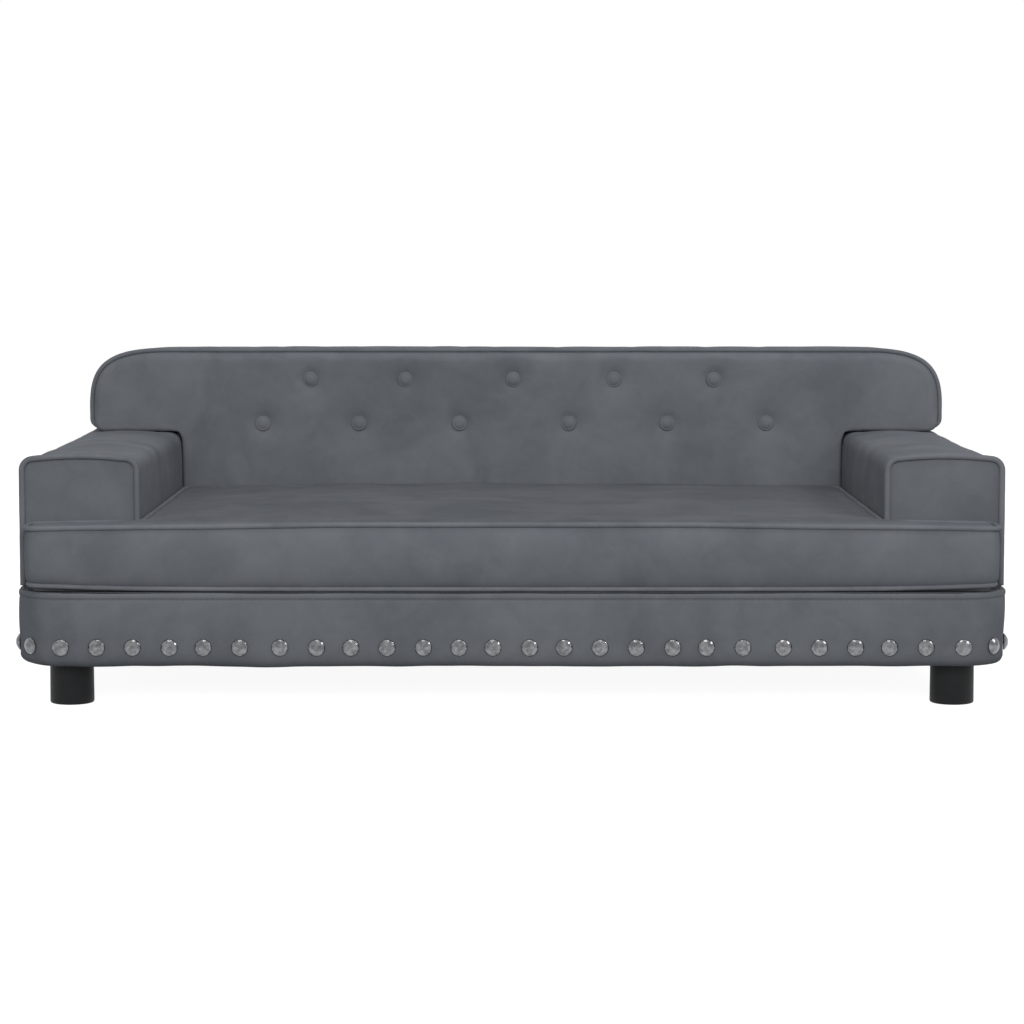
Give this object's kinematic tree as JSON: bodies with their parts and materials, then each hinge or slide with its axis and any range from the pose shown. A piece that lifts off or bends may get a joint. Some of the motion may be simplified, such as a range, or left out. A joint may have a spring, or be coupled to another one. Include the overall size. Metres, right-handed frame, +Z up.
{
  "type": "dog bed",
  "caption": "Sofa-shaped dog bed in tufted velvet with a T-shaped back on box arms, a loose piped T cushion, a nailed base and plastic feet.",
  "frame": {"origin": "on the floor, in the middle of the plan", "axes": "+X to the right as seen from the front, +Y from the front to the back, +Z up"},
  "size_m": [0.9032, 0.53, 0.309],
  "materials": {
    "velvet": "short-pile velvet with soft nap marks",
    "piping": "velvet-covered welt",
    "deck_cloth": "plain woven lining",
    "dust_cover": "black non-woven",
    "foam": "open-cell foam",
    "wood": "plywood and softwood, unfinished",
    "foot": "moulded black, satin",
    "nail": "bright domed heads",
    "steel": "zinc-plated",
    "twine": "waxed twine",
    "zip": "woven tape with nylon coil"
  },
  "bodies": {
    "frame": {"back_batten": "wood", "back_board": "wood", "back_boxing": "velvet", "back_buttons": "velvet", "back_front_cover": "velvet", "back_padding": "foam", "back_piping": "piping", "back_rear_cover": "velvet", "back_twines": "twine", "base_cover_front": "velvet", "base_cover_left": "velvet", "base_cover_rear": "velvet", "base_cover_right": "velvet", "base_padding_front": "foam", "base_padding_left": "foam", "base_padding_rear": "foam", "base_padding_right": "foam", "centre_rail": "wood", "corner_block_front_left": "wood", "corner_block_front_right": "wood", "corner_block_rear_left": "wood", "corner_block_rear_right": "wood", "deck_board": "wood", "deck_bolts": "steel", "deck_cloth": "deck_cloth", "dust_cover": "dust_cover", "foot_front_left": "foot", "foot_front_right": "foot", "foot_inserts": "steel", "foot_rear_left": "foot", "foot_rear_right": "foot", "foot_studs": "steel", "front_rail": "wood", "left_arm_base_board": "wood", "left_arm_carcass": "wood", "left_arm_cover": "velvet", "left_arm_front_panel": "velvet", "left_arm_padding": "foam", "left_arm_piping": "piping", "left_rail": "wood", "nails_front": "nail", "nails_left": "nail", "nails_right": "nail", "rear_rail": "wood", "right_arm_base_board": "wood", "right_arm_carcass": "wood", "right_arm_cover": "velvet", "right_arm_front_panel": "velvet", "right_arm_padding": "foam", "right_arm_piping": "piping", "right_rail": "wood", "tee_nuts": "steel"},
    "cushion": {"cushion_bottom_panel": "velvet", "cushion_boxing": "velvet", "cushion_core": "foam", "cushion_lower_piping": "piping", "cushion_top_panel": "velvet", "cushion_upper_piping": "piping", "zip_tape": "zip"},
    "zip_slider": {"zip_slider": "steel"}
  },
  "joints": [
    {"name": "cushion_lift", "type": "slide", "parent": "frame", "child": "cushion", "axis": [0, 0, 1], "range_m": [0, 0.25]},
    {"name": "zip_run", "type": "slide", "parent": "cushion", "child": "zip_slider", "axis": [1, 0, 0], "range_m": [0, 0.395]}
  ]
}
